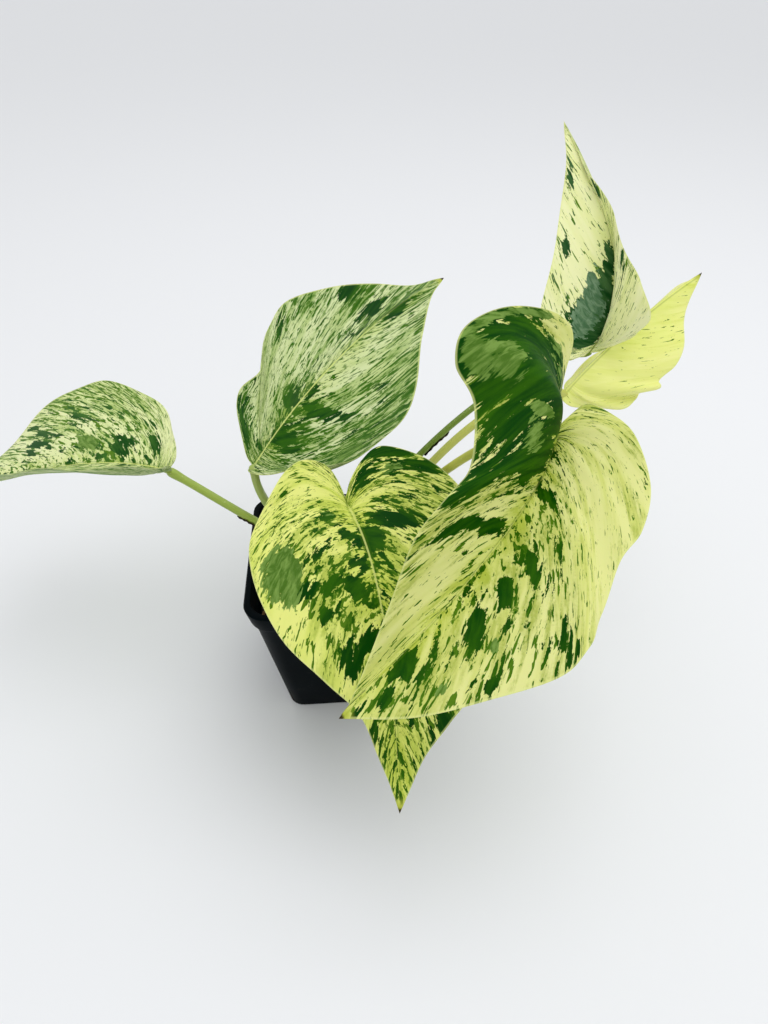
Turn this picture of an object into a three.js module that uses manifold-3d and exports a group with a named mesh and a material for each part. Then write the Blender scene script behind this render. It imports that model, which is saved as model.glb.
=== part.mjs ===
// A small variegated pothos in a square nursery pot: six heart-shaped leaves on long petioles that rise
// from two short vine cuttings set in bark mix. Millimetres, +Z up, origin at the centre of the pot's base.
import * as THREE from 'three';
import { mergeVertices } from 'three/addons/utils/BufferGeometryUtils.js';
import Module from 'manifold-3d';

const wasm = await Module();
wasm.setup();

// ---- Driving dimensions -------------------------------------------------------------------------

const GAP = 0.35;
const POT = { rim: 76, base: 51, height: 67, wall: 1.3, floor: 1.8, corner: 6, lip: 9, lipOut: 1.4 };
const DRAIN = { radius: 3, inset: 9, sides: 16 };
const SOIL = { top: 55, mound: 3, moundSpread: 0.35, ripple: 0.7, waveX: 0.31, waveY: 0.27, cells: 12,
  cornerDraw: 0.08 };
const VINE = { radius: 3.2, sides: 10, steps: 8 };
const PETIOLE = { radius: 1.7, sides: 8, steps: 14 };
const BLADE = { thickness: 0.7, along: 28, across: 10 };
const WELD = 1e-4;
const SHEATH = { inner: 2.1, outer: 2.7, arc: 2.4, steps: 5 };
const CHIP = { count: 14, size: 6.5, width: 0.72, height: 0.55, dent: 0.16, rise: 0.4, turn: 1.3,
  dentX: 1.9, dentY: 1.7 };

// Each blade has its own frame: x along the chord from the petiole to the tip, y to the left, z up.
// rib bends the midrib: its two inner Bezier points, (along, left, up).
// left and right are the margin's points from the notch to the tip, (along, outwards, up).
// belly lifts each half between midrib and margin, as a share of its width, at three veins (BELLY_VEINS).
const BLADES = {
  left: {
    base: [-68, 20, 95], tip: [-158, 35, 79], rib: [[23, -2, 10], [57, 0, 8]],
    belly: { left: [-0.08, -0.04, -0.04], right: [0.08, 0.04, 0.04] },
    left: [[-4, 5, 5], [-3, 15, 12], [10, 25, 20], [30, 26, 22], [55, 17, 17], [78, 5, 7]],
    right: [[-2, 7, 4], [1, 17, 9], [8, 28, 16], [22, 36, 21], [38, 42, 23], [55, 42, 20], [70, 34, 14],
      [82, 18, 6]],
  },
  rear: {
    base: [-34, 18, 97], tip: [50, 90, 145], rib: [[36, -2, 15], [88, 3, 10]],
    belly: { left: [-0.06, -0.06, -0.06], right: [-0.05, -0.05, -0.05] },
    left: [[2, 6, 3], [9, 15, 7], [20, 25, 12], [34, 27, 11], [51, 39, 14], [67, 43, 15], [86, 37, 10],
      [99, 22, 6], [110, 9, 2]],
    right: [[-3, 1, 0], [2, 16, 4], [12, 32, 8], [23, 47, 12], [40, 49, 12], [61, 39, 8], [86, 18, 3],
      [106, 5, 1]],
  },
  front: {
    base: [1, -21, 108], tip: [15, -102, 41], rib: [[22, 9, 12], [67, 5, 7]],
    belly: { left: [0.06, 0.03, 0.03], right: [0.06, 0.04, 0.04] },
    left: [[-3, 4, 0], [-9, 6, 1], [-14, 10, 2], [-16, 18, 4], [-8, 32, 7], [5, 41, 9], [20, 45, 10],
      [38, 44, 9], [57, 38, 6], [73, 30, 5], [82, 21, 4], [92, 10, 1]],
    right: [[-5, 1, 0], [-10, 2, 2], [-13, 5, 3], [-15, 10, 4], [-14, 15, 5], [-8, 22, 6], [7, 32, 7],
      [16, 35, 8], [30, 34, 7], [46, 28, 4], [61, 17, 4], [74, 7, 1], [90, 3, 0]],
  },
  large: {
    base: [72, -24, 135], tip: [-3, -95, 83], rib: [[12, 11, 0], [61, 11, 2]],
    belly: { left: [0.06, 0.04, 0.04], right: [-0.15, 0.26, 0] },
    left: [[-8, 1, -2], [-15, 4, 0], [-13, 15, 1], [-6, 27, 3], [6, 38, 2], [20, 43, 1], [32, 43, 2],
      [48, 47, 2], [60, 50, 5],
      [70, 48, 4], [85, 36, 3], [102, 20, 1]],
    right: [[-8, 3, 7], [-20, 3, 21], [-17, 5, 36], [-4, 11, 49], [11, 15, 54], [20, 13, 49], [23, 7, 37],
      [37, 2, 26], [52, 1, 28], [66, 2, 24], [83, 3, 12], [105, 1, 1]],
  },
  tall: {
    base: [104, 44, 129], tip: [96, 95, 206], rib: [[18, -25, 9], [62, -11, 4]],
    belly: { left: [0.05, 0, 0], right: [-0.05, 0, 0] },
    left: [[-2, 7, 3], [-2, 15, 5], [5, 22, 7], [18, 21, 7], [46, 10, 3], [73, 2, 1]],
    right: [[1, 5, 9], [4, 10, 25], [10, 12, 30], [22, 12, 25], [33, 12, 18], [47, 11, 13], [61, 10, 8],
      [76, 4, 3]],
  },
  small: {
    base: [92, 31, 118], tip: [153, 62, 155], rib: [[28, 1, 4], [56, 3, 1]],
    belly: { left: [0, 0, 0], right: [0.05, 0.05, 0.05] },
    left: [[3, 3, -2], [14, 10, -6], [31, 13, -10], [50, 12, -10], [68, 7, -5]],
    right: [[-2, 1, -1], [0, 3, -6], [7, 7, -12], [16, 13, -17], [23, 13, -18], [27, 13, -18],
      [32, 18, -16], [34, 16, -15], [42, 17, -14], [50, 14, -12], [59, 7, -8], [68, 3, -4]],
  },
};

// Petioles leave a vine at its node and rise to their blade: vine, start height and two inner Bezier points.
const PETIOLES = {
  left: { vine: 'left', from: [-7, 5, 61], bends: [[-26, 9, 66], [-48, 15, 83]] },
  rear: { vine: 'left', from: [-7, 5, 67], bends: [[-28, 13, 71], [-34, 17, 83]] },
  front: { vine: 'left', from: [-6, 3, 72], bends: [[-5, -4, 83], [-2, -14, 97]] },
  large: { vine: 'right', from: [7, 3, 60], bends: [[20, -8, 94], [50, -15, 134]] },
  small: { vine: 'right', from: [8, 5, 65], bends: [[27, 6, 91], [58, 25, 128]] },
  tall: { vine: 'right', from: [8, 6, 70], bends: [[22, 18, 97], [78, 44, 131]] },
};
const VINES = {
  left: [[-5, 8, 27], [-7, 5, 53], [-6, 4, 75]],
  right: [[10, 2, 25], [7, 4, 51], [8, 6, 73]],
};
// Dried sheaths cling to the lower side of two petioles, over a stretch given as shares of the petiole.
const SHEATHS = { left: [0.43, 0.57], tall: [0.34, 0.44] };

// ---- Materials ----------------------------------------------------------------------------------

const paint = (color, roughness) => new THREE.MeshStandardMaterial({ color, roughness, metalness: 0 });
const MATERIALS = {
  pot: paint(0x16181a, 0.45),
  soil: paint(0x1d1712, 0.95),
  bark: paint(0x8a6f52, 0.9),
  stem: paint(0x93a54b, 0.45),
  sheath: paint(0x1f1a12, 0.8),
  creamBlade: paint(0xc3d286, 0.4),
  greenBlade: paint(0x86a352, 0.4),
};

// ---- Geometry helpers ---------------------------------------------------------------------------

const vec = (p) => new THREE.Vector3(...p);

// Closed geometry with shared vertices merged, ready to display or to become a solid.
function welded(geometry) {
  geometry.deleteAttribute('normal');
  geometry.deleteAttribute('uv');
  const merged = mergeVertices(geometry, WELD);
  merged.computeVertexNormals();
  return merged;
}

function solid(geometry) {
  const merged = welded(geometry);
  return new wasm.Manifold(new wasm.Mesh({
    numProp: 3,
    vertProperties: new Float32Array(merged.attributes.position.array),
    triVerts: new Uint32Array(merged.index.array),
  }));
}

function geometryOf(manifold) {
  const mesh = manifold.getMesh();
  const geometry = new THREE.BufferGeometry();
  geometry.setAttribute('position', new THREE.BufferAttribute(new Float32Array(mesh.vertProperties), 3));
  geometry.setIndex(new THREE.BufferAttribute(new Uint32Array(mesh.triVerts), 1));
  geometry.computeVertexNormals();
  return geometry;
}

function circle(radius, sides) {
  const points = [];
  for (let i = 0; i < sides; i += 1) {
    const a = (2 * Math.PI * i) / sides;
    points.push(new THREE.Vector2(radius * Math.cos(a), radius * Math.sin(a)));
  }
  return new THREE.Shape(points);
}

function tube(curve, radius, sides, steps) {
  return new THREE.ExtrudeGeometry(circle(radius, sides), { steps, extrudePath: curve });
}

// Square of the given side with rounded corners.
function roundedSquare(side, corner) {
  const h = side / 2;
  const r = corner;
  const shape = new THREE.Shape();
  shape.moveTo(h, r - h);
  shape.lineTo(h, h - r);
  shape.absarc(h - r, h - r, r, 0, Math.PI / 2);
  shape.lineTo(r - h, h);
  shape.absarc(r - h, h - r, r, Math.PI / 2, Math.PI);
  shape.lineTo(-h, r - h);
  shape.absarc(r - h, r - h, r, Math.PI, 1.5 * Math.PI);
  shape.lineTo(h - r, -h);
  shape.absarc(h - r, r - h, r, 1.5 * Math.PI, 2 * Math.PI);
  return shape;
}

// Tapered block: a rounded square of width low at z0 that widens to width high at z1.
function taper(low, high, z0, z1, corner) {
  const geometry = new THREE.ExtrudeGeometry(roundedSquare(high, corner), {
    depth: z1 - z0, bevelEnabled: false, curveSegments: 5,
  });
  const position = geometry.attributes.position;
  for (let i = 0; i < position.count; i += 1) {
    const scale = position.getZ(i) < (z1 - z0) / 2 ? low / high : 1;
    position.setXY(i, position.getX(i) * scale, position.getY(i) * scale);
  }
  return geometry.translate(0, 0, z0);
}

// ---- Pot ----------------------------------------------------------------------------------------

const bodyWidth = (z) => POT.base + ((POT.rim - 2 * POT.lipOut - POT.base) * z) / POT.height;

function drainHoles() {
  const reach = POT.base / 2 - DRAIN.inset;
  const holes = [];
  for (const [sx, sy] of [[-1, -1], [-1, 1], [1, -1], [1, 1]]) {
    const hole = new THREE.CylinderGeometry(DRAIN.radius, DRAIN.radius, 3 * POT.floor, DRAIN.sides);
    hole.rotateX(Math.PI / 2);
    hole.translate(sx * reach, sy * reach, POT.floor / 2);
    holes.push(solid(hole));
  }
  return holes;
}

function potGeometry() {
  const lipFoot = POT.height - POT.lip;
  const inner = (z) => bodyWidth(z) - 2 * POT.wall;
  let pot = solid(taper(POT.base, bodyWidth(POT.height), 0, POT.height, POT.corner));
  pot = pot.add(solid(taper(bodyWidth(lipFoot) + 2 * POT.lipOut, POT.rim, lipFoot, POT.height, POT.corner)));
  pot = pot.subtract(solid(taper(inner(POT.floor), inner(POT.height + 1), POT.floor, POT.height + 1,
    POT.corner - POT.wall)));
  for (const hole of drainHoles()) {
    pot = pot.subtract(hole);
  }
  return geometryOf(pot);
}

// ---- Soil and bark chips ------------------------------------------------------------------------

// Gentle unevenness of the potting mix, highest at the cuttings.
function soilHeight(x, y) {
  const reach = POT.rim / 2;
  const mound = SOIL.mound * Math.exp(-(x * x + y * y) / (reach * reach * SOIL.moundSpread));
  return SOIL.top + mound + SOIL.ripple * Math.sin(x * SOIL.waveX + 1) * Math.cos(y * SOIL.waveY);
}

function soilGeometry(vines) {
  const bottom = POT.floor + GAP;
  const geometry = new THREE.BoxGeometry(1, 1, 1, SOIL.cells, SOIL.cells, 1);
  const position = geometry.attributes.position;
  for (let i = 0; i < position.count; i += 1) {
    const top = position.getZ(i) > 0;
    const half = bodyWidth(top ? SOIL.top : bottom) / 2 - POT.wall - GAP;
    const u = 2 * position.getX(i);
    const v = 2 * position.getY(i);
    // Drawing the corners in keeps the block clear of the pot's rounded ones.
    const shrink = 1 - SOIL.cornerDraw * u ** 4 * v ** 4;
    const x = half * u * shrink;
    const y = half * v * shrink;
    position.setXYZ(i, x, y, top ? soilHeight(x, y) : bottom);
  }
  let soil = solid(geometry);
  for (const vine of vines) {
    soil = soil.subtract(solid(tube(vine, VINE.radius + GAP, VINE.sides, VINE.steps)));
  }
  return geometryOf(soil);
}

// Irregular chip: a squashed, dented icosahedron.
function chipGeometry(seed) {
  const geometry = welded(new THREE.IcosahedronGeometry(CHIP.size / 2, 1));
  const position = geometry.attributes.position;
  for (let i = 0; i < position.count; i += 1) {
    const p = new THREE.Vector3().fromBufferAttribute(position, i);
    const wave = Math.sin(p.x * CHIP.dentX + seed) * Math.cos(p.y * CHIP.dentY + 2 * seed);
    const dent = 1 + CHIP.dent * wave;
    position.setXYZ(i, p.x * dent, p.y * dent * CHIP.width, p.z * dent * CHIP.height);
  }
  geometry.computeVertexNormals();
  return geometry;
}

// ---- Leaves -------------------------------------------------------------------------------------

const FAN = 0.46;
const FAN_FOOT = 0.07;
const FOOT_POWER = 1.5;
const BOW = 0.16;
const BELLY_VEINS = [0, 0.5, 0.75];
const FIRST_VEIN = 0.03;
const LAST_VEIN = 0.995;
// How far either side of a point its normal is measured, in t and in s.
const VEIN_STEP = 0.01;
const SHARE_STEP = 0.1;

// Where along the midrib the vein number t starts: the lobes' veins fan out of its first few millimetres.
function veinFoot(t) {
  if (t < FAN) {
    return (FAN_FOOT * t) / FAN;
  }
  return FAN_FOOT + (1 - FAN_FOOT) * ((t - FAN) / (1 - FAN)) ** FOOT_POWER;
}

// Belly of one half at vein t, in straight lines between its three values.
function bellyAt([lobe, middle, far], t) {
  const [, middleVein, farVein] = BELLY_VEINS;
  if (t < middleVein) {
    return THREE.MathUtils.lerp(lobe, middle, t / middleVein);
  }
  return THREE.MathUtils.lerp(middle, far, Math.min((t - middleVein) / (farVein - middleVein), 1));
}

// Curves of one blade in its own frame, with margins keyed by the sign of s.
function bladeCurves(blade) {
  const tip = new THREE.Vector3(vec(blade.tip).distanceTo(vec(blade.base)), 0, 0);
  const notch = new THREE.Vector3();
  const side = (points, sign) => new THREE.CatmullRomCurve3(
    [notch, ...points.map(([x, y, z]) => new THREE.Vector3(x, sign * y, z)), tip],
    false, 'catmullrom', 0.5,
  );
  const rib = new THREE.CubicBezierCurve3(notch, vec(blade.rib[0]), vec(blade.rib[1]), tip);
  return { rib, left: side(blade.left, 1), right: side(blade.right, -1), belly: blade.belly };
}

// Point of the blade's middle surface on vein t, at share s of the way from the midrib (0) to the left
// margin (1) or the right margin (-1).
function bladePoint(curves, t, s) {
  const sign = s < 0 ? -1 : 1;
  const share = Math.abs(s);
  const foot = veinFoot(t);
  const start = curves.rib.getPoint(foot);
  const along = curves.rib.getTangent(foot);
  const vein = (sign > 0 ? curves.left : curves.right).getPoint(t).sub(start);
  const width = vein.length();
  const up = along.clone().cross(vein).multiplyScalar(sign).normalize();
  const belly = bellyAt(sign > 0 ? curves.belly.left : curves.belly.right, t);
  const arch = 4 * share * (1 - share) * width;
  const sweep = BOW * Math.min(Math.max(3 * t - 0.3, 0), 1);
  return start.addScaledVector(vein, share)
    .addScaledVector(up, arch * belly)
    .addScaledVector(along, -arch * sweep);
}

function bladeGeometry(blade) {
  const curves = bladeCurves(blade);
  const geometry = new THREE.BoxGeometry(1, 1, 1, BLADE.along, BLADE.across, 1);
  const position = geometry.attributes.position;
  for (let i = 0; i < position.count; i += 1) {
    const t = THREE.MathUtils.lerp(FIRST_VEIN, LAST_VEIN, position.getX(i) + 0.5);
    const s = 2 * position.getY(i);
    const towardTip = bladePoint(curves, Math.min(t + VEIN_STEP, 1), s)
      .sub(bladePoint(curves, t - VEIN_STEP, s));
    const toLeft = bladePoint(curves, t, Math.min(s + SHARE_STEP, 1))
      .sub(bladePoint(curves, t, Math.max(s - SHARE_STEP, -1)));
    const normal = towardTip.cross(toLeft).normalize();
    const p = bladePoint(curves, t, s).addScaledVector(normal, position.getZ(i) * BLADE.thickness);
    position.setXYZ(i, p.x, p.y, p.z);
  }
  return welded(geometry);
}

// Rotation that turns a blade's own frame to its place: x to the tip, y level.
function bladeRotation(blade) {
  const x = vec(blade.tip).sub(vec(blade.base)).normalize();
  const y = new THREE.Vector3(0, 0, 1).cross(x).normalize();
  const z = x.clone().cross(y);
  return new THREE.Quaternion().setFromRotationMatrix(new THREE.Matrix4().makeBasis(x, y, z));
}

// ---- Stems --------------------------------------------------------------------------------------

const vineCurve = (name) => new THREE.CatmullRomCurve3(VINES[name].map(vec));

const PETIOLE_STOP = 2.6;

// Route of a petiole, which stops just short of its blade's notch.
function petioleCurve(name) {
  const { from, bends } = PETIOLES[name];
  const notch = vec(BLADES[name].base);
  const end = notch.clone().add(vec(bends[1]).sub(notch).normalize().multiplyScalar(PETIOLE_STOP));
  return new THREE.CubicBezierCurve3(vec(from), vec(bends[0]), vec(bends[1]), end);
}

// Petiole with its foot shaped to the vine that it grows from.
function petioleGeometry(name) {
  const stem = solid(tube(petioleCurve(name), PETIOLE.radius, PETIOLE.sides, PETIOLE.steps));
  const vine = solid(tube(vineCurve(PETIOLES[name].vine), VINE.radius + GAP, VINE.sides, VINE.steps));
  return geometryOf(stem.subtract(vine));
}

// Stretch of a petiole's route between two shares of its length.
class Stretch extends THREE.Curve {
  constructor(curve, from, to) {
    super();
    this.curve = curve;
    this.from = from;
    this.to = to;
  }

  getPoint(t, target = new THREE.Vector3()) {
    return target.copy(this.curve.getPoint(THREE.MathUtils.lerp(this.from, this.to, t)));
  }
}

// Thin open trough that hugs one side of a petiole.
function sheathGeometry(name) {
  const half = SHEATH.arc / 2;
  const shape = new THREE.Shape();
  shape.absarc(0, 0, SHEATH.outer, -half, half, false);
  shape.absarc(0, 0, SHEATH.inner, half, -half, true);
  const route = new Stretch(petioleCurve(name), ...SHEATHS[name]);
  const options = { steps: SHEATH.steps, extrudePath: route, curveSegments: 4 };
  return welded(new THREE.ExtrudeGeometry(shape, options));
}

// ---- Assembly -----------------------------------------------------------------------------------

const plant = new THREE.Group();

function add(name, geometry, material) {
  const mesh = new THREE.Mesh(geometry, material);
  mesh.name = name;
  plant.add(mesh);
  return mesh;
}

add('pot', potGeometry(), MATERIALS.pot);
add('soil', soilGeometry(Object.keys(VINES).map(vineCurve)), MATERIALS.soil);

for (const name of Object.keys(VINES)) {
  const vine = welded(tube(vineCurve(name), VINE.radius, VINE.sides, VINE.steps));
  add(`vine_${name}`, vine, MATERIALS.stem);
}

for (const [name, blade] of Object.entries(BLADES)) {
  const pale = name !== 'rear' && name !== 'left';
  const mesh = add(`blade_${name}`, bladeGeometry(blade), pale ? MATERIALS.creamBlade : MATERIALS.greenBlade);
  mesh.position.copy(vec(blade.base));
  mesh.quaternion.copy(bladeRotation(blade));
  add(`petiole_${name}`, petioleGeometry(name), MATERIALS.stem);
}

for (const name of Object.keys(SHEATHS)) {
  add(`sheath_${name}`, sheathGeometry(name), MATERIALS.sheath);
}

// Bark chips lie in a sunflower pattern over the mix, clear of the cuttings and the wall.
const CHIP_FIRST_RADIUS = 15;
const CHIP_LAST_RADIUS = 27;
const GOLDEN_ANGLE = Math.PI * (3 - Math.sqrt(5));
for (let i = 0; i < CHIP.count; i += 1) {
  const radius = THREE.MathUtils.lerp(CHIP_FIRST_RADIUS, CHIP_LAST_RADIUS, i / (CHIP.count - 1));
  const x = radius * Math.cos(i * GOLDEN_ANGLE);
  const y = radius * Math.sin(i * GOLDEN_ANGLE);
  const chip = add(`chip_${String(i + 1).padStart(2, '0')}`, chipGeometry(i), MATERIALS.bark);
  chip.position.set(x, y, soilHeight(x, y) + CHIP.size * CHIP.rise);
  chip.rotation.z = i * CHIP.turn;
}

export default plant;
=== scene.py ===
import math

import bpy
import numpy as np
from mathutils import Matrix, Vector


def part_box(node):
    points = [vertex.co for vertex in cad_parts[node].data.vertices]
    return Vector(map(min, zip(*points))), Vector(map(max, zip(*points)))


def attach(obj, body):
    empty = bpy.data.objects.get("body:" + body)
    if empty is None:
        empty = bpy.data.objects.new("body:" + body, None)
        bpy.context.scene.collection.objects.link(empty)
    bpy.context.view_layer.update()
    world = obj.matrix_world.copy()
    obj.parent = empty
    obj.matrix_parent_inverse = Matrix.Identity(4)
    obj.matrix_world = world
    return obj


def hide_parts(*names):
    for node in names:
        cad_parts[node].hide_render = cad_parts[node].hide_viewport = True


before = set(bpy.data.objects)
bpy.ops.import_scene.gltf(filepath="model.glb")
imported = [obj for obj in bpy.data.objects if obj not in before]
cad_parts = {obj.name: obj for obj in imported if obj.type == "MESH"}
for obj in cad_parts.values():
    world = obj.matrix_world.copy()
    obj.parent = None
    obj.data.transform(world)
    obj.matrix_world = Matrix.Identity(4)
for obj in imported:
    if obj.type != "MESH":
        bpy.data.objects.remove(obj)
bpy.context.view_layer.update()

# ---- Nursery pot --------------------------------------------------------------------------------
# A square three-inch nursery pot, blow-thin black polypropylene with a turned-out lip. It is moulded
# in one shot: rounded corners, a flat foot with drain holes, and a faint moulded grain all over.

MM = 0.001
POT_WALL = 1.3 * MM
POT_FLOOR = 1.8 * MM
POT_CORNER = 6 * MM
POT_LIP = 9 * MM
POT_LIP_OUT = 1.4 * MM
POT_BASE = 51 * MM
POT_DRAIN_RADIUS = 3 * MM
POT_DRAIN_REACH = 16.5 * MM
POT_EDGE_ROUND = 0.45 * MM


def srgb(red, green, blue):
    """A colour given in 0 to 255 display values, as the linear colour that a shader takes."""
    shares = [value / 255 for value in (red, green, blue)]
    linear = [share / 12.92 if share <= 0.04045 else ((share + 0.055) / 1.055) ** 2.4 for share in shares]
    return (*linear, 1.0)


class Wire:
    """One output socket of a material. Arithmetic on it adds Math nodes."""

    def __init__(self, tree, socket=None):
        self.tree = tree
        self.socket = socket

    def node(self, kind, settings=None, inputs=None, out=0):
        """Adds a node: its settings are set first, then the values or links of its sockets."""
        made = self.tree.nodes.new("ShaderNode" + kind)
        for name, value in (settings or {}).items():
            setattr(made, name, value)
        for key, value in (inputs or {}).items():
            if isinstance(value, Wire):
                self.tree.links.new(value.socket, made.inputs[key])
            else:
                made.inputs[key].default_value = value
        return Wire(self.tree, made.outputs[out])

    def maths(self, operation, *values):
        return self.node("Math", {"operation": operation}, dict(enumerate(values)))

    def __add__(self, other):
        return self.maths("ADD", self, other)

    def __sub__(self, other):
        return self.maths("SUBTRACT", self, other)

    def __mul__(self, other):
        return self.maths("MULTIPLY", self, other)

    def __radd__(self, other):
        return self.maths("ADD", other, self)

    def __rsub__(self, other):
        return self.maths("SUBTRACT", other, self)

    def __rmul__(self, other):
        return self.maths("MULTIPLY", other, self)

    def step(self, low, high):
        """0 below low, 1 above high, smooth between."""
        return self.node("MapRange", {"interpolation_type": "SMOOTHSTEP"},
                         {"Value": self, "From Min": low, "From Max": high})

    def blend(self, other, share):
        """This colour turning into the other by share."""
        return self.node("Mix", {"data_type": "RGBA"}, {0: share, 6: self, 7: other}, out=2)

    def noise(self, place, scale, detail, roughness):
        return self.node("TexNoise", {}, {"Vector": place, "Scale": scale, "Detail": detail,
                                          "Roughness": roughness}, out="Fac")

    def colour(self, value):
        made = self.node("RGB")
        made.socket.default_value = value
        return made


def new_material(name, **constants):
    """A material with a Principled shader: constants go straight on its sockets. Gives it, the shader's
    inputs and a wire to start from."""
    material = bpy.data.materials.new(name)
    material.use_nodes = True
    shader = material.node_tree.nodes["Principled BSDF"]
    for key, value in constants.items():
        shader.inputs[key.replace("_", " ")].default_value = value
    return material, shader.inputs, Wire(material.node_tree)


def bump(wire, height, strength, distance):
    return wire.node("Bump", {}, {"Height": height, "Strength": strength, "Distance": distance})


def plug(wire, target):
    wire.tree.links.new(wire.socket, target)


def clear_selection():
    if bpy.context.mode != "OBJECT":
        bpy.ops.object.mode_set(mode="OBJECT")
    bpy.ops.object.select_all(action="DESELECT")


def finish_piece(piece, name, material, nodes=(), smooth_angle=40):
    """Names a piece, gives it its finish and hangs it on the plant's one body."""
    piece.name = name
    piece.data.name = name
    piece.data.materials.clear()
    piece.data.materials.append(material)
    clear_selection()
    piece.select_set(True)
    bpy.context.view_layer.objects.active = piece
    bpy.ops.object.transform_apply(location=True, rotation=True, scale=True)
    bpy.ops.object.shade_smooth_by_angle(angle=math.radians(smooth_angle))
    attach(piece, "root")
    if nodes:
        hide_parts(*nodes)
    return piece


def extrude_ring(lift, scale):
    """Draws the selected face on by lift, then resizes it about the pot's middle."""
    bpy.ops.mesh.extrude_region_move(TRANSFORM_OT_translate={"value": (0, 0, lift)})
    bpy.ops.transform.resize(value=(scale, scale, 1))


pot_low, pot_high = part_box("pot")
POT_HEIGHT = pot_high.z
POT_RIM = pot_high.x - pot_low.x


def pot_width(z):
    """Width of the tapered body at height z."""
    return POT_BASE + (POT_RIM - 2 * POT_LIP_OUT - POT_BASE) * z / POT_HEIGHT


def mould_pot():
    lip_foot = POT_HEIGHT - POT_LIP
    clear_selection()
    bpy.ops.mesh.primitive_plane_add(size=POT_BASE - 1.6 * MM)
    pot = bpy.context.object
    bpy.ops.object.mode_set(mode="EDIT")
    bpy.ops.mesh.select_all(action="SELECT")
    bpy.ops.mesh.bevel(offset=POT_CORNER, segments=7, affect="VERTICES")
    bpy.ops.mesh.flip_normals()
    # Heights and widths of the wall's rings, from the foot over the lip to the floor inside.
    inner = 2 * POT_WALL
    rings = [
        (0.8 * MM, pot_width(0.8 * MM)),
        (lip_foot * 0.5, pot_width(lip_foot * 0.5)),
        (lip_foot, pot_width(lip_foot)),
        (lip_foot + 0.5 * MM, pot_width(lip_foot) + 1.5 * POT_LIP_OUT),
        (lip_foot + 1.4 * MM, pot_width(lip_foot) + 2 * POT_LIP_OUT),
        (POT_HEIGHT - 0.6 * MM, POT_RIM),
        (POT_HEIGHT, POT_RIM - 1.0 * MM),
        (POT_HEIGHT, pot_width(POT_HEIGHT) - inner + 1.0 * MM),
        (POT_HEIGHT - 0.8 * MM, pot_width(POT_HEIGHT) - inner),
        (lip_foot, pot_width(lip_foot) - inner),
        (POT_FLOOR + 1 * MM, pot_width(POT_FLOOR) - inner),
        (POT_FLOOR, pot_width(POT_FLOOR) - inner - 2 * MM),
    ]
    height, width = 0.0, POT_BASE - 1.6 * MM
    for ring_height, ring_width in rings:
        extrude_ring(ring_height - height, ring_width / width)
        height, width = ring_height, ring_width
    bpy.ops.mesh.select_all(action="SELECT")
    bpy.ops.mesh.normals_make_consistent(inside=False)
    bpy.ops.object.mode_set(mode="OBJECT")
    return pot


def drill_drains(pot):
    clear_selection()
    drills = []
    for x in (-POT_DRAIN_REACH, POT_DRAIN_REACH):
        for y in (-POT_DRAIN_REACH, POT_DRAIN_REACH):
            bpy.ops.mesh.primitive_cylinder_add(vertices=24, radius=POT_DRAIN_RADIUS, depth=4 * POT_FLOOR,
                                                location=(x, y, 0))
            drills.append(bpy.context.object)
    for drill in drills:
        cut = pot.modifiers.new("drain", "BOOLEAN")
        cut.operation = "DIFFERENCE"
        cut.object = drill
        clear_selection()
        bpy.context.view_layer.objects.active = pot
        bpy.ops.object.modifier_apply(modifier=cut.name)
    for drill in drills:
        bpy.data.objects.remove(drill)
    edge = pot.modifiers.new("edges", "BEVEL")
    edge.width = POT_EDGE_ROUND
    edge.segments = 3
    edge.limit_method = "ANGLE"
    edge.angle_limit = math.radians(28)
    clear_selection()
    bpy.context.view_layer.objects.active = pot
    bpy.ops.object.modifier_apply(modifier=edge.name)


def pot_plastic():
    material, inputs, wire = new_material("black_polypropylene", Specular_IOR_Level=0.03)
    place = wire.node("TexCoord", out="Object")
    grain = wire.noise(place, 1400, 3, 0.6)
    cloud = wire.noise(place, 45, 4, 0.6)
    dust = wire.noise(place, 320, 3, 0.7)
    height = wire.node("SeparateXYZ", {}, {0: place}, out="Z")
    splash = (cloud * 0.8 + dust * 0.4).step(0.66, 0.8) * (1 - (height * (1 / 0.03)).step(0.2, 1.4))
    black = wire.colour(srgb(0, 5, 8)).blend(wire.colour(srgb(4, 12, 16)), cloud.step(0.35, 0.75))
    plug(black.blend(wire.colour(srgb(92, 86, 78)), splash * 0.3), inputs["Base Color"])
    plug(0.3 + cloud * 0.16 + dust * 0.1 + splash * 0.2, inputs["Roughness"])
    plug(bump(wire, grain * 0.6 + dust * 0.4, 0.25, 0.15 * MM), inputs["Normal"])
    return material


pot = mould_pot()
drill_drains(pot)
finish_piece(pot, "nursery_pot", pot_plastic(), ["pot"], smooth_angle=35)

# ---- Potting mix --------------------------------------------------------------------------------
# Dark peat and composted bark, filled to a finger's width under the rim and slightly mounded where
# the cuttings were pressed in. Its top is rough with crumbs, shards of bark and a little perlite.

SOIL_TOP = 55 * MM
SOIL_MOUND = 3 * MM
SOIL_MOUND_SPREAD = 0.35
SOIL_RIPPLE = 0.7           # millimetres, with waves of this many radians a millimetre
SOIL_WAVE_X = 0.31
SOIL_WAVE_Y = 0.27
SOIL_CELLS = 110
SOIL_ROUGHNESS = 0.8 * MM
GRAIN_TILT = 0.6
CHIPS = 14
rng = np.random.default_rng(91)


def soil_height(x, y):
    """Gentle unevenness of the mix, highest at the cuttings, as the CAD block has it."""
    x, y = np.asarray(x) / MM, np.asarray(y) / MM
    reach = POT_RIM / 2 / MM
    mound = SOIL_MOUND / MM * np.exp(-(x * x + y * y) / (reach * reach * SOIL_MOUND_SPREAD))
    ripple = SOIL_RIPPLE * np.sin(x * SOIL_WAVE_X + 1) * np.cos(y * SOIL_WAVE_Y)
    return SOIL_TOP + (mound + ripple) * MM


def vertex_places(mesh):
    places = np.empty(len(mesh.vertices) * 3)
    mesh.vertices.foreach_get("co", places)
    return places.reshape(-1, 3)


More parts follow.
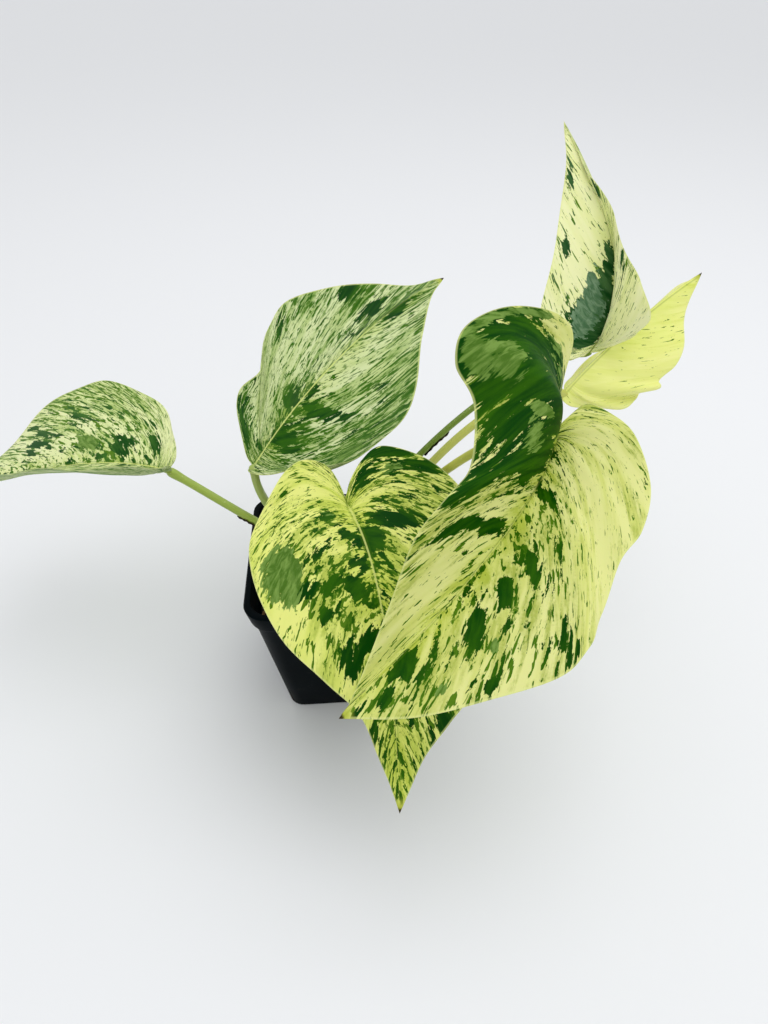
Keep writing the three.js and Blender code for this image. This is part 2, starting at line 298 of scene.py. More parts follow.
def put_vertices(mesh, places):
    mesh.vertices.foreach_set("co", np.asarray(places, dtype=np.float64).ravel())
    mesh.update()


def lumps(places, size, seed):
    """Smooth random hills between about -1 and 1, a few waves in random directions."""
    waves = np.random.default_rng(seed)
    total = np.zeros(len(places))
    for _ in range(14):
        direction = waves.normal(size=3)
        direction *= waves.uniform(0.6, 1.7) * 2 * math.pi / size / np.linalg.norm(direction)
        total += np.sin(places @ direction + waves.uniform(0, 2 * math.pi))
    return total / 4


def fill_pot():
    bottom = POT_FLOOR + 0.35 * MM
    inside = 2 * POT_WALL + 0.3 * MM
    low_width = pot_width(bottom) - inside
    top_width = pot_width(SOIL_TOP) - inside
    clear_selection()
    bpy.ops.mesh.primitive_grid_add(x_subdivisions=SOIL_CELLS, y_subdivisions=SOIL_CELLS, size=low_width,
                                    location=(0, 0, bottom))
    soil = bpy.context.object
    bpy.ops.object.mode_set(mode="EDIT")
    bpy.ops.mesh.select_all(action="SELECT")
    extrude_ring(SOIL_TOP - bottom, top_width / low_width)
    bpy.ops.object.mode_set(mode="OBJECT")
    bpy.ops.object.transform_apply(location=True)
    places = vertex_places(soil.data)
    high = places[:, 2] > SOIL_TOP - 1 * MM
    draw = 1 - 0.07 * (places[:, 0] / top_width * 2) ** 4 * (places[:, 1] / top_width * 2) ** 4
    places[:, 0] *= draw
    places[:, 1] *= draw
    rough = 0.6 * lumps(places, 7 * MM, 5) + 0.4 * lumps(places, 2.6 * MM, 6)
    rough += 0.25 * lumps(places, 1.2 * MM, 7)
    places[high, 2] = soil_height(places[high, 0], places[high, 1]) + SOIL_ROUGHNESS * rough[high]
    put_vertices(soil.data, places)
    return soil


def mix_finish(name, dark, light, grain_scale, wetness):
    """Crumbly organic finish: colour varies from crumb to crumb and inside each one."""
    material, inputs, wire = new_material(name, Specular_IOR_Level=0.3)
    place = wire.node("TexCoord", out="Object")
    cell = wire.node("TexVoronoi", {}, {"Vector": place, "Scale": grain_scale}, out="Color")
    tint = wire.node("SeparateColor", {}, {0: cell}, out=0)
    fibre = wire.noise(place, grain_scale * 3, 4, 0.7)
    plug(wire.colour(dark).blend(wire.colour(light), (tint * 0.6 + fibre * 0.5).step(0.3, 0.9)),
         inputs["Base Color"])
    plug(0.95 - wetness * tint + fibre * 0.05, inputs["Roughness"])
    plug(bump(wire, fibre + tint * 0.5, 0.6, 0.3 * MM), inputs["Normal"])
    return material


def scatter(name, template, count, radius, sizes, squash, material, sink=0.2):
    """One mesh of many small copies of a low shape, strewn over the mix inside the pot."""
    corners = vertex_places(template.data)
    faces = [tuple(f.vertices) for f in template.data.polygons]
    bpy.data.objects.remove(template)
    all_places, all_faces = [], []
    for number in range(count):
        x, y = rng.uniform(-radius, radius, 2)
        size = rng.uniform(*sizes) * MM
        shape = corners * (np.array(squash) * rng.uniform(0.7, 1.3, 3)) * size
        shape = shape * (1 + 0.22 * lumps(shape, size * 0.9, 100 + number))[:, None]
        heading = Matrix.Rotation(rng.uniform(0, 2 * math.pi), 3, "Z")
        tilt = Matrix.Rotation(rng.uniform(-GRAIN_TILT, GRAIN_TILT), 3, "X")
        shape = shape @ np.array(heading @ tilt).T
        shape += (x, y, float(soil_height(x, y)) + size * sink)
        all_faces += [tuple(i + len(corners) * number for i in f) for f in faces]
        all_places.append(shape)
    mesh = bpy.data.meshes.new(name)
    mesh.from_pydata(np.concatenate(all_places).tolist(), [], all_faces)
    piece = bpy.data.objects.new(name, mesh)
    bpy.context.scene.collection.objects.link(piece)
    return finish_piece(piece, name, material, smooth_angle=30)


def crumb():
    clear_selection()
    bpy.ops.mesh.primitive_ico_sphere_add(subdivisions=2, radius=0.5)
    return bpy.context.object


def shard():
    clear_selection()
    bpy.ops.mesh.primitive_cube_add(size=1)
    bpy.ops.object.mode_set(mode="EDIT")
    bpy.ops.mesh.select_all(action="SELECT")
    bpy.ops.mesh.bevel(offset=0.18, segments=1, affect="EDGES")
    bpy.ops.object.mode_set(mode="OBJECT")
    return bpy.context.object


soil_dark = mix_finish("peat", srgb(22, 17, 13), srgb(62, 48, 36), 420, 0.25)
finish_piece(fill_pot(), "potting_mix", soil_dark, ["soil"], smooth_angle=60)
FILL_REACH = 31 * MM
scatter("peat_crumbs", crumb(), 520, FILL_REACH, (1.0, 3.0), (1, 1, 0.7), soil_dark)
bark_brown = mix_finish("bark_brown", srgb(66, 44, 28), srgb(139, 104, 70), 300, 0.1)
bark_tan = mix_finish("bark_tan", srgb(120, 92, 64), srgb(186, 158, 122), 260, 0.05)
scatter("bark_shards", shard(), 150, FILL_REACH, (2.0, 4.5), (1, 0.5, 0.28), bark_brown, 0.3)
scatter("bark_splinters", shard(), 90, FILL_REACH, (2.5, 5.5), (1, 0.16, 0.12), bark_tan, 0.3)
perlite_white = mix_finish("perlite", srgb(196, 190, 178), srgb(236, 233, 226), 700, 0.05)
scatter("perlite", crumb(), 26, FILL_REACH, (1.2, 2.6), (1, 1, 0.8), perlite_white, 0.3)


def break_chip(number):
    """A bark nugget where the frame has its chip: a split block with torn faces."""
    node = "chip_%02d" % number
    low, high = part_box(node)
    clear_selection()
    bpy.ops.mesh.primitive_cube_add(size=1)
    chip = bpy.context.object
    bpy.ops.object.mode_set(mode="EDIT")
    bpy.ops.mesh.select_all(action="SELECT")
    bpy.ops.mesh.bevel(offset=0.16, segments=2, affect="EDGES")
    bpy.ops.mesh.subdivide(number_cuts=3, smoothness=0)
    bpy.ops.object.mode_set(mode="OBJECT")
    places = vertex_places(chip.data)
    places[:, 0] *= 1 + 0.25 * places[:, 1]
    places *= 1 + 0.1 * lumps(places, 0.8, 300 + number)[:, None]
    places[:, 2] += 0.07 * lumps(places * (0.3, 1, 1), 0.22, 400 + number)
    size = np.array(high - low) * 1.05
    centre = np.array(low + high) / 2
    put_vertices(chip.data, places * size + centre)
    tone = bark_tan if number % 3 else bark_brown
    return finish_piece(chip, "bark_chip_%02d" % number, tone, [node], smooth_angle=35)


for number in range(1, CHIPS + 1):
    break_chip(number)

# ---- Vines and petioles -------------------------------------------------------------------------
# Two rooted vine cuttings with swollen nodes, cut off square above the top leaf. Each petiole clasps
# its vine, runs up with a shallow groove on its upper side, and thickens to a joint under its blade.

VINE_RADIUS = 3.2 * MM
VINES = {
    "left": [(-5, 8, 27), (-7, 5, 53), (-6, 4, 75)],
    "right": [(10, 2, 25), (7, 4, 51), (8, 6, 73)],
}
# Route of each petiole: foot on the vine, two Bezier handles and the blade's notch, in millimetres.
PETIOLES = {
    "left": [(-7, 5, 61), (-26, 9, 66), (-48, 15, 83), (-68, 20, 95)],
    "rear": [(-7, 5, 67), (-28, 13, 71), (-34, 17, 83), (-34, 18, 97)],
    "front": [(-6, 3, 72), (-5, -4, 83), (-2, -14, 97), (1, -21, 108)],
    "large": [(7, 3, 60), (20, -8, 94), (50, -15, 134), (72, -24, 135)],
    "small": [(8, 5, 65), (27, 6, 91), (58, 25, 128), (92, 31, 118)],
    "tall": [(8, 6, 70), (22, 18, 97), (78, 44, 131), (104, 44, 129)],
}
TUBE_AROUND = 28
GROOVE_SPREAD = 0.55        # radians
NODES = (0.3, 0.62, 0.86)   # shares of a vine's length


def bezier(points, share):
    a, b, c, d = (np.asarray(p, dtype=float) for p in points)
    t = np.asarray(share, dtype=float)[..., None]
    return (1 - t) ** 3 * a + 3 * (1 - t) ** 2 * t * b + 3 * (1 - t) * t * t * c + t ** 3 * d


def through(points, share):
    """Smooth line through the points, evenly shared between them."""
    points = np.asarray(points, dtype=float)
    spans = len(points) - 1
    place = np.clip(np.asarray(share, dtype=float), 0, 1) * spans
    first = np.minimum(place.astype(int), spans - 1)
    t = (place - first)[..., None]
    ends = np.vstack([2 * points[0] - points[1], points, 2 * points[-1] - points[-2]])
    a, b, c, d = ends[first], ends[first + 1], ends[first + 2], ends[first + 3]
    square = 2 * a - 5 * b + 4 * c - d
    cube = 3 * b - a - 3 * c + d
    return 0.5 * (2 * b + (c - a) * t + square * t ** 2 + cube * t ** 3)


def unit(vectors):
    return vectors / np.maximum(np.linalg.norm(vectors, axis=-1, keepdims=True), 1e-12)


def rolled_grid(name, rows, around, places):
    """A skin from a grid whose far edge is rolled round onto its near edge; close_skin merges the two.
    places is an array of rows by around + 1 points."""
    clear_selection()
    bpy.ops.mesh.primitive_grid_add(x_subdivisions=rows - 1, y_subdivisions=around, size=1)
    piece = bpy.context.object
    piece.name = name
    flat = vertex_places(piece.data)
    row = np.rint((flat[:, 0] + 0.5) * (rows - 1)).astype(int)
    column = np.rint((flat[:, 1] + 0.5) * around).astype(int)
    put_vertices(piece.data, places[row, column])
    return piece, row, column


def close_skin(piece):
    """Merges points within a few microns, which closes the seam and the poles, and faces all outward."""
    bpy.context.view_layer.objects.active = piece
    bpy.ops.object.mode_set(mode="EDIT")
    bpy.ops.mesh.select_all(action="SELECT")
    bpy.ops.mesh.remove_doubles(threshold=0.002 * MM)
    bpy.ops.mesh.fill_holes(sides=0)
    bpy.ops.mesh.select_all(action="SELECT")
    bpy.ops.mesh.normals_make_consistent(inside=False)
    bpy.ops.object.mode_set(mode="OBJECT")


def draw_stem(name, route, radius_at, groove_at, rows, phase=0.0):
    """Stem along a route of rows points in metres. radius_at gives its radius and groove_at the depth of its
    upper groove, as a share of the radius."""
    share = np.linspace(0, 1, rows)
    centre = route(share)
    forward = unit(np.gradient(centre, axis=0))
    side = unit(np.cross(forward, (0.13, 0.21, 1.0)))
    upward = np.cross(side, forward)
    angle = np.linspace(0, 2 * math.pi, TUBE_AROUND + 1)
    angle[-1] = 0
    from_top = np.mod(angle - math.pi / 2 + math.pi, 2 * math.pi) - math.pi
    groove = groove_at(share)[:, None] * np.exp(-(from_top / GROOVE_SPREAD) ** 2)[None]
    radius = radius_at(share)[:, None] * (1 - groove)
    radius = radius * (1 + 0.02 * np.sin(5 * angle + phase)[None])
    # The two ends close to a small dome.
    dome = np.sqrt(np.clip(1 - np.clip(1 - np.minimum(share, 1 - share) * rows / 4, 0, 1) ** 2, 0.02, 1))
    radius = radius * dome[:, None]
    places = (centre[:, None] + radius[..., None] * (np.cos(angle)[None, :, None] * side[:, None]
                                                      + np.sin(angle)[None, :, None] * upward[:, None]))
    piece, _, _ = rolled_grid(name, rows, TUBE_AROUND, places)
    close_skin(piece)
    return piece


def stem_finish(name, pale, green, dark_share):
    """Waxy stem skin: streaks of darker green run along it, with a few pale dots."""
    material, inputs, wire = new_material(name, Specular_IOR_Level=0.5,
                                          Subsurface_Weight=0.15, Subsurface_Scale=1.0,
                                          Subsurface_Radius=(1.2 * MM, 1.6 * MM, 0.5 * MM))
    spread = wire.node("UVMap")
    place = wire.node("TexCoord", out="Object")
    along = wire.node("Mapping", {}, {"Vector": spread, "Scale": (7.0, 26.0, 1.0)})
    streak = wire.noise(along, 1.0, 4, 0.65)
    fleck = wire.noise(place, 900, 2, 0.5)
    green_share = (streak + dark_share - 0.5).step(0.42, 0.62)
    skin = wire.colour(pale).blend(wire.colour(green), green_share)
    skin = skin.blend(wire.colour(srgb(206, 212, 150)), fleck.step(0.66, 0.74) * 0.5)
    plug(skin, inputs["Base Color"])
    plug(0.32 + streak * 0.12 + fleck * 0.06, inputs["Roughness"])
    plug(bump(wire, streak * 0.6 + fleck * 0.3, 0.25, 0.2 * MM), inputs["Normal"])
    return material


def cutting_finish():
    """Green-brown older stem skin, corky toward its cut top."""
    material, inputs, wire = new_material("cutting_skin", Specular_IOR_Level=0.4)
    place = wire.node("TexCoord", out="Object")
    spread = wire.node("UVMap")
    along = wire.node("SeparateXYZ", {}, {0: spread}, out="X")
    cork = wire.noise(place, 520, 4, 0.65)
    skin = wire.colour(srgb(96, 122, 48)).blend(wire.colour(srgb(132, 118, 70)), cork.step(0.42, 0.66))
    skin = skin.blend(wire.colour(srgb(74, 52, 34)), (along + cork * 0.06).step(0.965, 0.99))
    plug(skin, inputs["Base Color"])
    plug(0.5 + cork * 0.3, inputs["Roughness"])
    plug(bump(wire, cork, 0.5, 0.3 * MM), inputs["Normal"])
    return material


def vine_radius(share):
    """Swollen at its nodes."""
    swelling = sum(0.16 * np.exp(-((share - node) / 0.05) ** 2) for node in NODES)
    return VINE_RADIUS * (1 + swelling)


cutting_skin = cutting_finish()
for side, points in VINES.items():
    vine = draw_stem("vine", lambda share, p=points: through(p, share) * MM, vine_radius,
                     lambda share: np.zeros_like(share), rows=70)
    finish_piece(vine, "vine_cutting_" + side, cutting_skin, ["vine_" + side], smooth_angle=60)

# Pale and green tones of each petiole's skin, and how far the green outweighs the pale.
STEM_LOOKS = {
    "left": (srgb(150, 172, 62), srgb(96, 132, 24), 0.0),
    "rear": (srgb(158, 176, 88), srgb(104, 136, 46), 0.0),
    "front": (srgb(160, 176, 86), srgb(104, 136, 46), 0.0),
    "large": (srgb(182, 186, 70), srgb(126, 144, 40), -0.02),
    "small": (srgb(190, 194, 92), srgb(146, 160, 60), -0.06),
    "tall": (srgb(112, 138, 40), srgb(66, 100, 22), 0.08),
}
# How far each petiole runs on into its blade's notch, as a share of its route.
JOINT_REACH = 0.025
STEM_RADIUS = {"left": 1.7, "rear": 1.8, "front": 1.7, "large": 1.75, "small": 1.7, "tall": 1.35}


def draw_petiole(name):
    thickness = STEM_RADIUS[name] * MM

    def radius_at(share):
        clasp = 0.45 * np.exp(-(share / 0.05) ** 2)
        joint = 0.16 * np.exp(-((share - 0.95) / 0.04) ** 2)
        end = -0.3 * np.clip((share - 0.97) / 0.03, 0, 1)
        return thickness * (1 + clasp + joint + end)

    def groove_at(share):
        return 0.24 * np.clip(share / 0.1, 0, 1) * np.clip((0.93 - share) / 0.06, 0, 1)

    def route(share):
        return bezier(PETIOLES[name], share * (1 + JOINT_REACH)) * MM

    petiole = draw_stem("petiole", route, radius_at, groove_at, rows=110, phase=len(name))
    finish = stem_finish("stem_" + name, *STEM_LOOKS[name])
    return finish_piece(petiole, "leaf_stalk_" + name, finish, ["petiole_" + name], smooth_angle=60)


for name in PETIOLES:
    draw_petiole(name)

# ---- Dried sheaths ------------------------------------------------------------------------------
# The papery remains of the winged sheath on two petioles: a curl with a torn edge, its brown-black tone
# painted shade for the shadow it lies in under the petiole.

SHEATH_STRETCH = {"left": (0.43, 0.57), "tall": (0.34, 0.44)}
SHEATH_AROUND = 22


def dried_sheath(name):
    """Open trough round the lower side of a petiole, with flared and torn edges."""
    first, last = SHEATH_STRETCH[name]
    rows = 34
    share = np.linspace(first, last, rows)
    centre = bezier(PETIOLES[name], share) * MM
    forward = unit(np.gradient(centre, axis=0))
    side = unit(np.cross(forward, (0.13, 0.21, 1.0)))
    upward = np.cross(side, forward)
    half = SHEATH_AROUND // 2
    run = np.linspace(0, 1, rows)
    arc = 1.5 * np.sin(math.pi * np.clip(run * 0.85 + 0.12, 0, 1)) + 0.25 * np.sin(run * 23)
    turn = np.concatenate([np.linspace(-1, 1, half + 1), np.linspace(1, -1, half + 1)[1:]])
    skin = np.concatenate([np.ones(half + 1), np.zeros(half)])
    skin[0] = skin[half] = 0.5
    skin[-1] = 0.5
    flare = 0.25 + 0.3 * skin[None] + 0.25 * np.abs(turn[None]) ** 3
    radius = (STEM_RADIUS[name] + flare + 0.12 * np.sin(run * 31)[:, None]) * MM
    angle = -math.pi / 2 + turn[None] * arc[:, None] * 0.8
    places = (centre[:, None] + radius[..., None] * (np.cos(angle)[..., None] * side[:, None]
                                                      + np.sin(angle)[..., None] * upward[:, None]))
    piece, _, _ = rolled_grid("sheath", rows, SHEATH_AROUND, places)
    close_skin(piece)
    return piece


# Near-black to dark brown: painted shade, standing for the shadow the sheaths lie in under their petioles.
sheath_shade_skin = mix_finish("dry_sheath", srgb(16, 12, 9), srgb(70, 52, 34), 600, 0.2)
for name in SHEATH_STRETCH:
    finish_piece(dried_sheath(name), "dry_sheath_" + name, sheath_shade_skin, ["sheath_" + name], 50)

# ---- Leaves -------------------------------------------------------------------------------------
# Six heart-shaped blades, each a thin waxy skin on both sides of one row of veins. The midrib is a pale
# groove above and a ridge below, and the veins sweep from it to a thin cream margin and a brown point.

# Every blade as the frame has it, in millimetres. Its own axes run from notch to tip, to the left and up.
# rib bends the midrib; left and right are margin points (along, outwards, up); belly lifts each half between
# midrib and margin, as a share of its width, at BELLY_VEINS.
BLADES = {
    "left": {
        "base": (-68, 20, 95), "tip": (-158, 35, 79), "rib": [(23, -2, 10), (57, 0, 8)],
        "belly": {"left": (-0.08, -0.04, -0.04), "right": (0.08, 0.04, 0.04)},
        "left": [(-4, 5, 5), (-3, 15, 12), (10, 25, 20), (30, 26, 22), (55, 17, 17), (78, 5, 7)],
        "right": [(-2, 7, 4), (1, 17, 9), (8, 28, 16), (22, 36, 21), (38, 42, 23), (55, 42, 20), (70, 34, 14),
                  (82, 18, 6)],
    },
    "rear": {
        "base": (-34, 18, 97), "tip": (50, 90, 145), "rib": [(36, -2, 15), (88, 3, 10)],
        "belly": {"left": (-0.06, -0.06, -0.06), "right": (-0.05, -0.05, -0.05)},
        "left": [(2, 6, 3), (9, 15, 7), (20, 25, 12), (34, 27, 11), (51, 39, 14), (67, 43, 15), (86, 37, 10),
                 (99, 22, 6), (110, 9, 2)],
        "right": [(-3, 1, 0), (2, 16, 4), (12, 32, 8), (23, 47, 12), (40, 49, 12), (61, 39, 8), (86, 18, 3),
                  (106, 5, 1)],
    },
    "front": {
        "base": (1, -21, 108), "tip": (15, -102, 41), "rib": [(22, 9, 12), (67, 5, 7)],
        "belly": {"left": (0.06, 0.03, 0.03), "right": (0.06, 0.04, 0.04)},
        "left": [(-3, 4, 0), (-9, 6, 1), (-14, 10, 2), (-16, 18, 4), (-8, 32, 7), (5, 41, 9), (20, 45, 10),
                 (38, 44, 9), (57, 38, 6), (73, 30, 5), (82, 21, 4), (92, 10, 1)],
        "right": [(-5, 1, 0), (-10, 2, 2), (-13, 5, 3), (-15, 10, 4), (-14, 15, 5), (-8, 22, 6),
                  (7, 32, 7), (16, 35, 8), (30, 34, 7), (46, 28, 4), (61, 17, 4), (74, 7, 1), (90, 3, 0)],
    },
    "large": {
        "base": (72, -24, 135), "tip": (-3, -95, 83), "rib": [(12, 11, 0), (61, 11, 2)],
        "belly": {"left": (0.06, 0.04, 0.04), "right": (-0.15, 0.26, 0)},
        "left": [(-8, 1, -2), (-15, 4, 0), (-13, 15, 1), (-6, 27, 3), (6, 38, 2), (20, 43, 1), (32, 43, 2),
                 (48, 47, 2), (60, 50, 5), (70, 48, 4), (85, 36, 3), (102, 20, 1)],
        "right": [(-8, 3, 7), (-20, 3, 21), (-17, 5, 36), (-4, 11, 49), (11, 15, 54), (20, 13, 49),
                  (23, 7, 37), (37, 2, 26), (52, 1, 28), (66, 2, 24), (83, 3, 12), (105, 1, 1)],
    },
    "tall": {
        "base": (104, 44, 129), "tip": (96, 95, 206), "rib": [(18, -25, 9), (62, -11, 4)],
        "belly": {"left": (0.05, 0, 0), "right": (-0.05, 0, 0)},
        "left": [(-2, 7, 3), (-2, 15, 5), (5, 22, 7), (18, 21, 7), (46, 10, 3), (73, 2, 1)],
        "right": [(1, 5, 9), (4, 10, 25), (10, 12, 30), (22, 12, 25), (33, 12, 18), (47, 11, 13), (61, 10, 8),
                  (76, 4, 3)],
    },
    "small": {
        "base": (92, 31, 118), "tip": (153, 62, 155), "rib": [(28, 1, 4), (56, 3, 1)],
        "belly": {"left": (0, 0, 0), "right": (0.05, 0.05, 0.05)},
        "left": [(3, 3, -2), (14, 10, -6), (31, 13, -10), (50, 12, -10), (68, 7, -5)],
        "right": [(-2, 1, -1), (0, 3, -6), (7, 7, -12), (16, 13, -17), (23, 13, -18), (27, 13, -18),
                  (32, 18, -16), (34, 16, -15), (42, 17, -14), (50, 14, -12), (59, 7, -8), (68, 3, -4)],
    },
}
# Patches of colour on each blade: the vein and the share of the way to the margin, from -1 at the right
# margin to 1 at the left, then how far the patch reaches in each, and its strength where that isn't 1.
# A negative strength thins the colour out.
DARK_PATCHES = {
    "left": [(0.83, -0.57, 0.04, 0.3, 0.7), (0.71, -0.68, 0.03, 0.26, 0.6), (0.64, -0.2, 0.07, 0.2, 0.7),
             (0.5, -0.3, 0.05, 0.3, 0.7)],
    "rear": [(0.64, 0.21, 0.03, 0.24), (0.25, 0.7, 0.12, 0.34), (0.4, 0.15, 0.1, 0.2),
             (0.755, 0.92, 0.035, 0.12), (0.82, 0.62, 0.03, 0.2), (0.585, 0.86, 0.04, 0.14),
             (0.68, -0.03, 0.025, 0.18), (0.647, -0.3, 0.02, 0.3), (0.552, -0.1, 0.04, 0.24),
             (0.7, -0.72, 0.018, 0.14), (0.89, -0.1, 0.03, 0.4)],
    "front": [(0.31, 0.84, 0.08, 0.2), (0.33, 0.42, 0.05, 0.24), (0.57, 0.28, 0.03, 0.34),
              (0.62, 0.06, 0.05, 0.16), (0.542, -0.24, 0.03, 0.13), (0.458, -0.77, 0.014, 0.12),
              (0.695, -0.63, 0.016, 0.12, 0.7), (0.698, -0.33, 0.02, 0.14, 0.7),
              (0.723, -0.22, 0.022, 0.14, 0.7), (0.738, -0.58, 0.014, 0.15, 0.7),
              (0.79, -0.5, 0.05, 0.4, 0.45), (0.89, -0.85, 0.025, 0.24), (0.85, 0.92, 0.028, 0.14),
              (0.4, 0.85, 0.03, 0.2)],
    "large": [(0.42, -0.55, 0.34, 1.0, 1.1), (0.545, -0.5, 0.01, 0.24, -0.9),
              (0.2, -0.8, 0.09, 0.24, -1.5), (0.675, -0.86, 0.05, 0.2), (0.64, -0.4, 0.05, 0.4),
              (0.772, -0.65, 0.022, 0.24), (0.775, -0.28, 0.018, 0.26), (0.69, 0.16, 0.02, 0.12),
              (0.785, 0.32, 0.013, 0.13), (0.823, 0.41, 0.016, 0.2), (0.868, 0.51, 0.018, 0.26),
              (0.758, 0.87, 0.016, 0.14), (0.73, 0.96, 0.012, 0.06), (0.855, 0.92, 0.008, 0.06),
              (0.935, 0.3, 0.014, 0.4), (0.955, 0.7, 0.012, 0.3)],
    "tall": [(0.9, -0.6, 0.02, 0.3), (0.825, -0.85, 0.03, 0.16), (0.578, -0.94, 0.04, 0.1),
             (0.6, 0.28, 0.14, 0.4, 1.3), (0.7, 0.2, 0.08, 0.28, 1.3), (0.77, 0.1, 0.06, 0.2, 1.3),
             (0.5, 0.2, 0.13, 0.3), (0.85, 0.9, 0.05, 0.14), (0.72, 0.85, 0.03, 0.12)],
    "small": [],
}
GREY_PATCHES = {
    "left": [(0.74, -0.3, 0.05, 0.3), (0.4, -0.6, 0.06, 0.3)],
    "rear": [(0.52, -0.75, 0.07, 0.2), (0.4, -0.7, 0.05, 0.3), (0.82, 0.5, 0.03, 0.3)],
    "front": [(0.645, -0.78, 0.07, 0.28, 1.6), (0.542, -0.24, 0.036, 0.18), (0.38, 0.6, 0.04, 0.25)],
    "large": [(0.463, -0.78, 0.09, 0.22, 1.4), (0.545, -0.5, 0.014, 0.26, 1.5),
              (0.59, -0.5, 0.055, 0.28, 1.2), (0.25, -0.55, 0.1, 0.5, 0.9), (0.36, -0.95, 0.2, 0.1, 1.2),
              (0.903, 0.83, 0.012, 0.1), (0.85, 0.7, 0.01, 0.1)],
    "tall": [(0.62, 0.34, 0.15, 0.32, 1.6), (0.7, 0.4, 0.02, 0.1)],
    "small": [(0.7, 0.5, 0.05, 0.2)],
}
PALE_PATCHES = {
    "left": [(0.3, -0.5, 0.2, 0.6)],
    "rear": [(0.75, -0.4, 0.12, 0.8), (0.5, 0.6, 0.2, 0.6, 1.5), (0.7, 0.6, 0.1, 0.4)],
    "front": [(0.4, -0.5, 0.2, 0.8), (0.7, -0.9, 0.3, 0.2), (0.47, 0.25, 0.03, 0.4)],
    "large": [(0.38, 0.5, 0.32, 0.7), (0.87, -0.7, 0.1, 0.6), (0.62, 0.75, 0.16, 0.4),
              (0.2, -0.85, 0.08, 0.22, 2)],
    "tall": [(0.8, 0.3, 0.2, 0.8), (0.3, -0.6, 0.3, 0.6)],
    "small": [(0.5, 0.2, 0.6, 1.5)],
}
FAN = 0.46                  # veins up to this one fan out of the notch
FAN_FOOT = 0.07             # over this first share of the midrib
FOOT_POWER = 1.5
VEIN_BOW = 0.16             # how far the veins bend towards the tip, as a share of their length
BELLY_VEINS = (0, 0.5, 0.75)
BLADE_ROWS = 190
BLADE_HALF_COLUMNS = 44
HALF_THICKNESS = 0.28 * MM
GROOVE = 0.34 * MM
RIDGE = 0.95 * MM
RIB_WIDTH = 0.95 * MM
MARGIN_WAVE = 0.7 * MM
PUCKER = 0.07 * MM
# Streaks are noise on a map of the veins: VEIN_SPREAD across them from notch to tip, millimetres along them.
# The shifts give each half and each blade its own part of the noise.
VEIN_SPREAD = 200
SIDE_SHIFT = 400
SEED_SHIFT = 40
STREAK_LEAN = {"left": 0.2, "rear": 0.3, "front": 0.15, "large": 0.22, "tall": 0.2, "small": 0.2}


def bezier_heading(points, share):
    a, b, c, d = (np.asarray(p, dtype=float) for p in points)
    t = np.asarray(share, dtype=float)[..., None]
    return 3 * ((1 - t) ** 2 * (b - a) + 2 * (1 - t) * t * (c - b) + t * t * (d - c))


def blade_axes(blade):
    """Directions of a blade's own axes as rows: to the tip, to the left, up."""
    ahead = unit(np.subtract(blade["tip"], blade["base"]).astype(float))
    leftward = unit(np.cross((0.0, 0.0, 1.0), ahead))
    return np.array([ahead, leftward, np.cross(ahead, leftward)])


def half_blade(blade, side, veins, shares):
    """Points of one half in its own frame, a row for each vein and a column for each share of the way to the
    margin, and the length of each vein."""
    sign = 1 if side == "left" else -1
    tip = np.array((np.linalg.norm(np.subtract(blade["tip"], blade["base"])), 0, 0))
    rib = [(0, 0, 0), *blade["rib"], tip]
    margin = [(0, 0, 0), *[(x, sign * y, z) for x, y, z in blade[side]], tip]
    lobes = FAN_FOOT * veins / FAN
    beyond = FAN_FOOT + (1 - FAN_FOOT) * np.clip((veins - FAN) / (1 - FAN), 0, 1) ** FOOT_POWER
    foot = np.where(veins < FAN, lobes, beyond)
    start, along = bezier(rib, foot), unit(bezier_heading(rib, foot))
    vein = through(margin, veins) - start
    length = np.linalg.norm(vein, axis=1)
    upward = unit(sign * np.cross(along, vein))
    belly = np.interp(veins, BELLY_VEINS, blade["belly"][side])
    sweep = VEIN_BOW * np.clip(3 * veins - 0.3, 0, 1)
    arch = 4 * shares * (1 - shares) * length[:, None]
    return (start[:, None] + shares[None, :, None] * vein[:, None]
            + upward[:, None] * (arch * belly[:, None])[..., None]
            - along[:, None] * (arch * sweep[:, None])[..., None]), length


def patch_field(patches, veins, shares):
    """1 in the middle of a patch and 0 at its edge; patches that overlap add up."""
    field = np.zeros((len(veins), len(shares)))
    for vein, share, vein_reach, share_reach, *strength in patches:
        away = np.hypot((veins[:, None] - vein) / vein_reach, (shares[None] - share) / share_reach)
        field += np.maximum(0, 1 - away ** 1.5) * (strength[0] if strength else 1)
    return field


